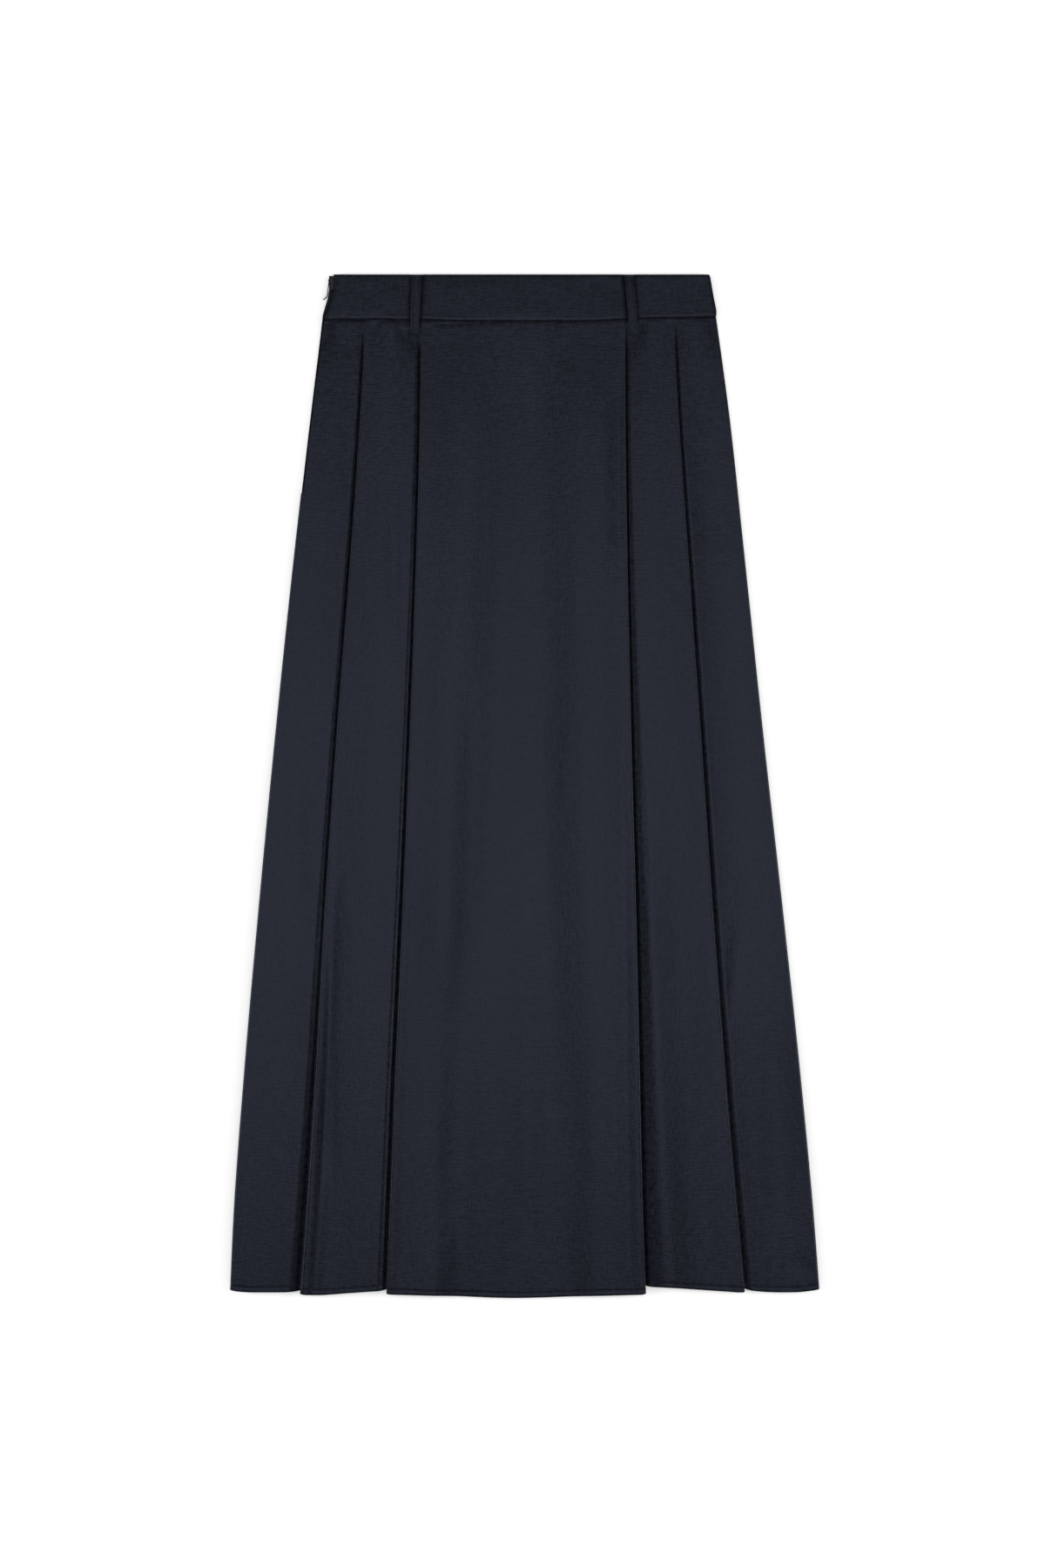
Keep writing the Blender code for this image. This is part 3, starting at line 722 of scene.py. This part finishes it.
def stitch_mesh(name, stitches, radius):
    """One mesh of small raised stitches, each given as (middle, direction, length), lying on its surface."""
    angles = np.arange(STITCH_SIDES) * 2 * math.pi / STITCH_SIDES
    sides = range(STITCH_SIDES)
    last_ring = STITCH_SIDES * (len(STITCH_SECTIONS) - 1)
    points, faces = [], []
    for middle, direction, length in stitches:
        run = np.array(direction) / np.linalg.norm(direction)
        side = np.cross([0, 0, 1], run)
        side /= np.linalg.norm(side)
        up = np.cross(run, side)
        base = len(points)
        for at, size, lift in STITCH_SECTIONS:
            centre = np.array(middle) + run * at * length + up * lift * radius
            for angle in angles:
                point = centre + radius * size * (side * math.cos(angle) + up * math.sin(angle))
                points.append(tuple(map(float, point)))
        for a in range(base, base + last_ring, STITCH_SIDES):
            b = a + STITCH_SIDES
            for i in sides:
                j = (i + 1) % STITCH_SIDES
                faces.append((a + i, a + j, b + j, b + i))
        faces.append(tuple(base + i for i in reversed(sides)))
        faces.append(tuple(base + last_ring + i for i in sides))
    return new_mesh(name, points, faces)


def stitches_along(points, sewing):
    """Stitches one after another along a line of surface points."""
    points = np.asarray(points)
    steps = np.linalg.norm(np.diff(points, axis=0), axis=1)
    travel = np.concatenate([[0], np.cumsum(steps)])

    def point_at(distance):
        return np.array([np.interp(distance, travel, points[:, k]) for k in range(3)])

    result = []
    for at in np.arange(sewing.pitch / 2, travel[-1] - sewing.pitch / 4, sewing.pitch):
        direction = point_at(at + sewing.length / 2) - point_at(at - sewing.length / 2)
        result.append((point_at(at), direction, sewing.length))
    return result


def new_material(name):
    """A material with its node tree and its shader."""
    material = bpy.data.materials.new(name)
    material.use_nodes = True
    tree = material.node_tree
    return material, tree, tree.nodes["Principled BSDF"]


def feed(tree, target, inputs):
    """Gives a node's inputs, by name or number, a value or a link from another node's output."""
    for name, value in inputs.items():
        if isinstance(value, bpy.types.NodeSocket):
            tree.links.new(value, target.inputs[name])
        else:
            target.inputs[name].default_value = value


def add_node(tree, kind, output, inputs, operation=None):
    """Adds a node with its inputs, and gives back one of its outputs."""
    made = tree.nodes.new("ShaderNode" + kind)
    if operation:
        made.operation = operation
    feed(tree, made, inputs)
    return made.outputs[output]


def map_range(tree, value, ranges):
    """A value taken from one range to another."""
    return add_node(tree, "MapRange", "Result", {
        "Value": value,
        "From Min": ranges.from_min,
        "From Max": ranges.from_max,
        "To Min": ranges.to_min,
        "To Max": ranges.to_max,
    })


def colour_ramp(tree, factor, start, first, end, last):
    """The first colour up to start, the last from end on, and an even run between them."""
    ramp = tree.nodes.new("ShaderNodeValToRGB")
    for element, position, colour in zip(ramp.color_ramp.elements, (start, end), (first, last)):
        element.position = position
        element.color = (*colour, 1)
    feed(tree, ramp, {"Fac": factor})
    return ramp.outputs["Color"]


def satin(name, look):
    """Satin cloth: a fine weave, slubs both ways, slight unevenness of tone and gloss, and a soft surface."""
    material, tree, shader = new_material(name)
    place = tree.nodes.new("ShaderNodeTexCoord").outputs["Object"]

    def noise_at(scale, detail):
        stretched = add_node(tree, "Mapping", "Vector", {"Vector": place, "Scale": scale})
        return add_node(tree, "TexNoise", "Fac", {"Vector": stretched, "Scale": 1, "Detail": detail})

    tone = colour_ramp(tree, noise_at(TONE_PATCHES, 3), 0.3, look.deep, 0.7, look.light)
    slubs = {0: noise_at(WEFT_SLUBS, 2), 1: noise_at(WARP_SLUBS, 2)}
    grain = add_node(tree, "Math", "Value", slubs, "ADD")
    speckle = map_range(tree, grain, SLUB_TONE)
    dyed = add_node(tree, "VectorMath", "Vector", {0: tone, "Scale": speckle}, "SCALE")

    # The slubs vary the gloss a little, and the cloth is duller where it is seen edge-on
    gloss = Ranges(0.5, 1.5, look.roughness - GLOSS_SPREAD, look.roughness + GLOSS_SPREAD)
    level = map_range(tree, grain, gloss)
    duller = map_range(tree, add_node(tree, "LayerWeight", "Facing", {}), EDGE_ON_DULLNESS)
    roughness = add_node(tree, "Math", "Value", {0: level, 1: duller}, "ADD")

    # Soft dents, the slubs over them, and the fine threads on top
    dents = {"Height": noise_at(SOFT_DENTS, 3), "Strength": 0.5, "Distance": 0.0003}
    dented = add_node(tree, "Bump", "Normal", dents)
    slubby = {"Height": grain, "Strength": 0.9, "Distance": 0.00014, "Normal": dented}
    slubbed = add_node(tree, "Bump", "Normal", slubby)
    fine = noise_at(FINE_THREADS, 1)
    threads = {"Height": fine, "Strength": look.weave, "Distance": 0.00006, "Normal": slubbed}
    feed(tree, shader, {
        "Base Color": dyed,
        "Roughness": roughness,
        "Normal": add_node(tree, "Bump", "Normal", threads),
        "Specular IOR Level": look.specular,
        "Specular Tint": GLEAM,
        "Sheen Weight": 0.01,
        "Sheen Roughness": 0.5,
        "Sheen Tint": SHEEN,
    })
    return material


def plain(name, look):
    """A smooth material with a slight unevenness, for thread, coil, metal and the floor."""
    material, tree, shader = new_material(name)
    place = tree.nodes.new("ShaderNodeTexCoord").outputs["Object"]
    uneven = add_node(tree, "TexNoise", "Fac", {"Vector": place, "Scale": look.bump_scale, "Detail": 3})
    darker = [part * (1 - PLAIN_TONE_SPREAD) for part in look.colour]
    lighter = [min(1, part * (1 + PLAIN_TONE_SPREAD)) for part in look.colour]
    gloss = Ranges(0.0, 1.0, look.roughness - PLAIN_GLOSS_SPREAD, look.roughness + PLAIN_GLOSS_SPREAD)
    bumps = {"Height": uneven, "Strength": 0.4, "Distance": look.bump_depth}
    feed(tree, shader, {
        "Base Color": colour_ramp(tree, uneven, 0.0, darker, 1.0, lighter),
        "Roughness": map_range(tree, uneven, gloss),
        "Normal": add_node(tree, "Bump", "Normal", bumps),
        "Metallic": look.metallic,
        "Specular IOR Level": look.specular,
    })
    return material


def skirt_front(cloth, thread):
    """The pleated front with its relief, and the stitches along its hem."""
    grid = front_grid()
    add_front_relief(grid)
    mesh = grid_mesh("front_satin", grid.x, grid.y, grid.z)
    front = add_piece(mesh, cloth, "skirt_satin", "skirt", "skirt_front")
    thicken(front, SHELL)
    row = int(np.argmin(np.abs(SKIRT_LENGTH - grid.down - HEM_DEPTH)))
    stitches = []
    for name in HEMS:
        own = [i for i, panel in enumerate(grid.panels) if panel == name]
        line = np.stack([grid.x[row, own], grid.y[row, own], grid.z[row, own] + SHELL / 2], axis=-1)
        stitches += stitches_along(line, HEM_SEWING)
    sewn = stitch_mesh("hem_stitches", stitches, HEM_SEWING.radius)
    return front, add_piece(sewn, thread, "skirt_satin", "skirt")


def skirt_back(cloth):
    """The plain back panel: flat under, and just inside the front's outline."""
    rows = [*np.linspace(0, 0.15, 12), *ROWS_AT_ZIP_END, *np.linspace(0.18, BACK_LENGTH, 50)]
    down = np.array(rows)[:, None]
    left = along("left", down) + ZIP_INSET * (down < ZIP_END) + BACK_INSET
    right = along("right", down) - BACK_INSET
    t = np.linspace(0, 1, 60)[None, :]
    x = mix(left, right, t)
    top = seam_y(x[0:1]) - SEAM_GAP
    bottom = WAIST_SEAM_Y - BACK_LENGTH - BACK_SAG * (1 - (2 * t - 1) ** 2)
    y = mix(top, bottom, down / BACK_LENGTH)
    mesh = grid_mesh("back_satin", x, y, np.full_like(x, CLOTH))
    back = add_piece(mesh, cloth, "skirt_satin", "skirt", "skirt_back")
    thicken(back, CLOTH, -1.0)
    return back


def band_grid(inset, columns, rows):
    """The waistband as an even grid from its top edge to the seam, and each point's distance to its edge."""
    down = rows[:, None]
    y_left = mix(TOP_Y, ZIP_ROWS[-1].y, down)
    left = np.interp(-y_left, [-row.y for row in ZIP_ROWS], [row.cloth for row in ZIP_ROWS]) + inset
    y_right = mix(TOP_Y, BAND_RIGHT[-1].y, down)
    right = np.interp(-y_right, [-point.y for point in BAND_RIGHT], [point.x for point in BAND_RIGHT]) - inset
    x = mix(left, right, columns[None, :])
    seam = seam_y(x)
    y = mix(TOP_Y, seam, down)
    distance = np.minimum.reduce([TOP_Y - y, y - seam, x - x[:, :1], x[:, -1:] - x])
    return x, y, distance


def edge_drop(distance, drop):
    """How far a surface has sunk at a distance from its pressed edge."""
    return drop.depth * np.clip(1 - distance / drop.width, 0, 1) ** 1.5


def waistbands(cloth):
    """The front half of the band, dented beside the belt loops, and the plain back half under it."""
    edge = np.array(BAND_EDGE_STEPS)
    across = edge / BAND_WIDTH
    columns = np.concatenate([across, np.linspace(0.012, 0.988, 150), 1 - across[::-1]])
    upright = edge / BAND_DEPTH
    rows = np.concatenate([upright, np.linspace(0.07, 0.93, 26), 1 - upright[::-1]])
    x, y, distance = band_grid(0.0, columns, rows)
    soft = sum(noise(x, y, blobs) for blobs in BAND_BLOBS)
    z = BAND_FACE - edge_drop(distance, BAND_FRONT_EDGE) + soft * ease(distance / 0.008)
    share = (TOP_Y - y) / (TOP_Y - LOOP_ROWS[-1].y)
    for ends in LOOPS.values():
        half = mix(ends.width_top, ends.width_bottom, share) / 2
        off = np.abs(x - mix(ends.x_top, ends.x_bottom, share)) - half
        z = z - edge_drop(np.maximum(off, 0), BAND_BESIDE_LOOP)
    front = add_piece(grid_mesh("band_front_satin", x, y, z), cloth, "band_satin", "skirt", "waistband_front")
    thicken(front, BAND_FRONT_SHELL, -1.0)
    x, y, distance = band_grid(BACK_INSET, columns[::3], rows[::2])
    z = BAND - edge_drop(distance, BAND_BACK_EDGE)
    back = add_piece(grid_mesh("band_back_satin", x, y, z), cloth, "band_satin", "skirt", "waistband_back")
    thicken(back, BAND_BACK_SHELL, -1.0)
    return front, back


def tack_stitches(ends, ys, middle):
    """The close row of slanted stitches near the top of a belt loop."""
    stitches = []
    for i in range(TACK_STITCHES):
        y = TACK_Y - TACK_STEP * i
        x = mix(ends.x_top, ends.x_bottom, (y - ys[0]) / (ys[-1] - ys[0]))
        z = float(np.interp(-y, -ys, middle)) + LOOP_CLOTH / 2
        slant = TACK_SLANT if i % 2 else -TACK_SLANT
        stitches.append((np.array([x, y, z]), (1, slant, 0), TACK_LENGTH))
    return stitches


def belt_loop(side, cloth, thread):
    """A folded strip with turned edges, ribs, two rows of stitching and a tack near the top."""
    ends = LOOPS[side]
    ys = np.linspace(LOOP_ROWS[0].y, LOOP_ROWS[-1].y, 261)
    across = np.array(LOOP_ACROSS)
    outward = np.abs(across)
    share = (ys[:, None] - ys[0]) / (ys[-1] - ys[0])
    half = mix(ends.width_top, ends.width_bottom, share) / 2
    centre = mix(ends.x_top, ends.x_bottom, share)
    x = centre + half * across[None, :]
    y = ys[:, None] + 0 * x
    middle = through(-ys, [-row.y for row in LOOP_ROWS], [row.z for row in LOOP_ROWS])
    groove = -LOOP_GROOVE * np.exp(-(((outward - LOOP_SEWN_AT) / LOOP_GROOVE_WIDTH) ** 2))[None, :]
    ribbed = ease((RIBS_END - outward) / LOOP_GROOVE_WIDTH)[None, :]
    ribs = RIB_HEIGHT * np.cos(2 * np.pi * y / RIB_PITCH) * ribbed
    side_drop = edge_drop((1 - outward) * half, LOOP_EDGE)
    end_drop = edge_drop(np.minimum(LOOP_ROWS[0].y - y, y - LOOP_ROWS[-1].y), LOOP_EDGE)
    z = middle[:, None] + LOOP_CLOTH / 2 + LOOP_COVER + groove + ribs - side_drop - end_drop
    mesh = grid_mesh(f"loop_{side}_satin", x, y, z)
    loop = add_piece(mesh, cloth, "band_satin", "skirt", "belt_loop_" + side)
    thicken(loop, LOOP_CLOTH - LOOP_COVER, -1.0)
    stitches = []
    for place in (-LOOP_SEWN_AT, LOOP_SEWN_AT):
        line_x = centre[:, 0] + place * half[:, 0]
        line = np.stack([line_x, ys, middle + LOOP_CLOTH / 2 + LOOP_COVER / 2], axis=-1)
        stitches += stitches_along(line[8:-8], LOOP_SEWING)
    stitches += tack_stitches(ends, ys, middle)
    sewn = stitch_mesh(f"loop_{side}_stitches", stitches, LOOP_SEWING.radius)
    return loop, add_piece(sewn, thread, "band_satin", "skirt")


def seam_strip(cloth):
    """The turned-in edges under the waist seam, which close the slit between the band and the skirt."""
    x = np.linspace(*SEAM_STRIP_X, 80)[None, :]
    across = np.array(SEAM_STRIP_ACROSS)[:, None]
    y = seam_y(x) + across
    z = SEAM_STRIP_Z + SEAM_STRIP_SLOPE * across + 0 * x
    strip = add_piece(grid_mesh("waist_seam_satin", x + 0 * y, y, z), cloth, "band_satin", "skirt")
    thicken(strip, SEAM_STRIP_CLOTH)
    return strip


# The closed zip below its slider: the outer and inner edge at each y, the foot, and the height over it
ZipLines = namedtuple("ZipLines", "y outer inner low height")


def zip_lines():
    """The zip's edges and height, beside the band and then down the side seam."""
    beside_band = np.linspace(ZIP_ROWS[1].y, ZIP_ROWS[-1].y, 14)
    below_band = WAIST_SEAM_Y - np.linspace(0.004, ZIP_END - 0.0004, 40)
    y = np.concatenate([beside_band, below_band])
    table_y = [-row.y for row in ZIP_ROWS]
    in_band = y >= ZIP_ROWS[-1].y
    down = np.clip(WAIST_SEAM_Y - y, 0, None)
    outer = np.where(in_band, np.interp(-y, table_y, [row.outer for row in ZIP_ROWS]), along("left", down))
    cloth = np.where(in_band, np.interp(-y, table_y, [row.cloth for row in ZIP_ROWS]), outer + ZIP_INSET)
    low = TAPE + TAPE_CLEARANCE
    top_below = mix(ZIP_TOP_AT_BAND, ZIP_TOP_BELOW_BAND, ease(down / ZIP_STEP_LENGTH))
    height = np.where(in_band, ZIP_TOP_AT_BAND, top_below) - low
    return ZipLines(y, outer, cloth - ZIP_CLEARANCE, low, height)


def zip_tape(lines, material):
    """The flat tape under the zip's core, which reaches up under the slider."""
    y = np.concatenate([[ZIP_ROWS[0].y - TAPE_TOP_GAP], lines.y])[:, None]
    left = np.concatenate([[lines.outer[0]], lines.outer])[:, None] + TAPE_INSET
    right = np.concatenate([[lines.inner[0]], lines.inner])[:, None] + ZIP_CLEARANCE + 0.0004
    x = mix(left, right, np.linspace(0, 1, 5)[None, :])
    mesh = grid_mesh("zip_tape", x, y + 0 * x, np.full_like(x, TAPE / 2))
    thicken(add_piece(mesh, material, "zip_coil", "skirt"), TAPE)


def zip_core(lines, material):
    """The closed zip's body: a rounded bar that fills the gap beside the cloth."""
    turn = np.linspace(0, 2 * np.pi, 15)[None, :-1]
    across = np.sign(np.cos(turn)) * np.abs(np.cos(turn)) ** ZIP_SQUARENESS
    upward = np.sign(np.sin(turn)) * np.abs(np.sin(turn)) ** ZIP_SQUARENESS
    wide = (lines.inner - lines.outer)[:, None] / 2
    tall = lines.height[:, None] / 2
    x = (lines.outer + lines.inner)[:, None] / 2 + wide * across
    z = lines.low + tall + tall * upward
    points = np.stack([x, lines.y[:, None] + 0 * x, z], axis=-1).reshape(-1, 3)
    rows, count = x.shape
    last = (rows - 1) * count
    faces = []
    for start in range(0, last, count):
        for i in range(count):
            j = (i + 1) % count
            faces.append((start + i, start + j, start + count + j, start + count + i))
    faces.append(tuple(reversed(range(count))))
    faces.append(tuple(range(last, last + count)))
    add_piece(new_mesh("zip_core", points.tolist(), faces), material, "zip_coil", "skirt", "zip_chain")


def zip_teeth(lines, material):
    """The coil's turns, laid across the core."""
    teeth = []
    for y in np.arange(ZIP_ROWS[1].y - 0.001, WAIST_SEAM_Y - ZIP_END + 0.001, -TOOTH_PITCH):
        outer = float(np.interp(-y, -lines.y, lines.outer))
        width = float(np.interp(-y, -lines.y, lines.inner - lines.outer))
        top = float(np.interp(-y, -lines.y, lines.height)) + lines.low
        middle = np.array([outer + width * TOOTH_MIDDLE, y, top - TOOTH_SINK])
        teeth.append((middle, (1, 0.1, 0), width * TOOTH_SHARE))
    add_piece(stitch_mesh("zip_teeth", teeth, TOOTH_RADIUS), material, "zip_coil", "skirt")


def zip_parts(tape, coil, metal):
    """Tape, core and coil along the left edge. The slider and the pull keep their own shapes."""
    lines = zip_lines()
    zip_tape(lines, tape)
    zip_core(lines, tape)
    zip_teeth(lines, coil)
    for name in ("zip_slider", "zip_pull"):
        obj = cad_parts[name]
        obj.data.materials.clear()
        obj.data.materials.append(metal)
        bevel = obj.modifiers.new("softened edges", "BEVEL")
        bevel.width = METAL_EDGE
        bevel.segments = 2
        bevel.limit_method = "ANGLE"


def stage():
    """A pale floor that the skirt lies on. Its faint glow makes it as white as the photo's background."""
    half = FLOOR_HALF
    corners = [(-half, -half, 0), (half, -half, 0), (half, half, 0), (-half, half, 0)]
    mesh = bpy.data.meshes.new("floor")
    mesh.from_pydata(corners, [], [(0, 1, 2, 3)])
    floor = bpy.data.objects.new("floor", mesh)
    floor.location.z = FLOOR_Z
    bpy.context.scene.collection.objects.link(floor)
    pale = plain("pale_floor", PALE_FLOOR)
    glow = {"Emission Color": (1, 1, 1, 1), "Emission Strength": FLOOR_GLOW}
    feed(pale.node_tree, pale.node_tree.nodes["Principled BSDF"], glow)
    mesh.materials.append(pale)


def area_light(box):
    """A square soft box that faces the middle of the skirt."""
    light = bpy.data.lights.new(box.name, "AREA")
    light.shape = "SQUARE"
    light.size = LIGHT_BOX_SIZE
    light.energy = box.power
    obj = bpy.data.objects.new(box.name, light)
    bpy.context.scene.collection.objects.link(obj)
    obj.location = box.place
    away = np.array(box.place) / np.linalg.norm(box.place)
    yaw = math.atan2(away[1], away[0]) + math.pi / 2
    obj.rotation_euler = (math.acos(away[2]), 0, yaw)


def lights():
    """Even white light from all round, and three soft boxes."""
    world = bpy.data.worlds.new("studio")
    world.use_nodes = True
    background = world.node_tree.nodes["Background"]
    feed(world.node_tree, background, {"Color": (1, 1, 1, 1), "Strength": WORLD_LIGHT})
    bpy.context.scene.world = world
    for box in LIGHT_BOXES:
        area_light(box)


def camera():
    """Straight above, at the height from which the picture covers the photo's share of the table."""
    lens = bpy.data.cameras.new("camera")
    lens.sensor_fit = "VERTICAL"
    lens.sensor_height = SENSOR_MM
    lens.lens = LENS_MM
    obj = bpy.data.objects.new("camera", lens)
    bpy.context.scene.collection.objects.link(obj)
    obj.location = (CAMERA_X, CAMERA_Y, SEEN_SURFACE_Z + VIEW_HEIGHT * LENS_MM / SENSOR_MM)
    bpy.context.scene.camera = obj


def main():
    view = bpy.context.scene.view_settings
    view.view_transform = "Standard"
    view.look = "None"
    view.exposure = 0
    view.gamma = 1
    cloth = satin("navy_satin", NAVY_SATIN)
    # The band's darker satin is partly painted shade
    band = satin("navy_band", NAVY_BAND)
    thread = plain("navy_thread", NAVY_THREAD)
    tape = plain("black_tape", BLACK_TAPE)
    coil = plain("black_coil", BLACK_COIL)
    metal = plain("black_metal", BLACK_METAL)
    front, hem = skirt_front(cloth, thread)
    seam = seam_strip(band)
    back = skirt_back(cloth)
    band_front, band_back = waistbands(band)
    loops = {side: belt_loop(side, band, thread) for side in LOOPS}
    zip_parts(tape, coil, metal)
    stage()
    lights()
    camera()


main()
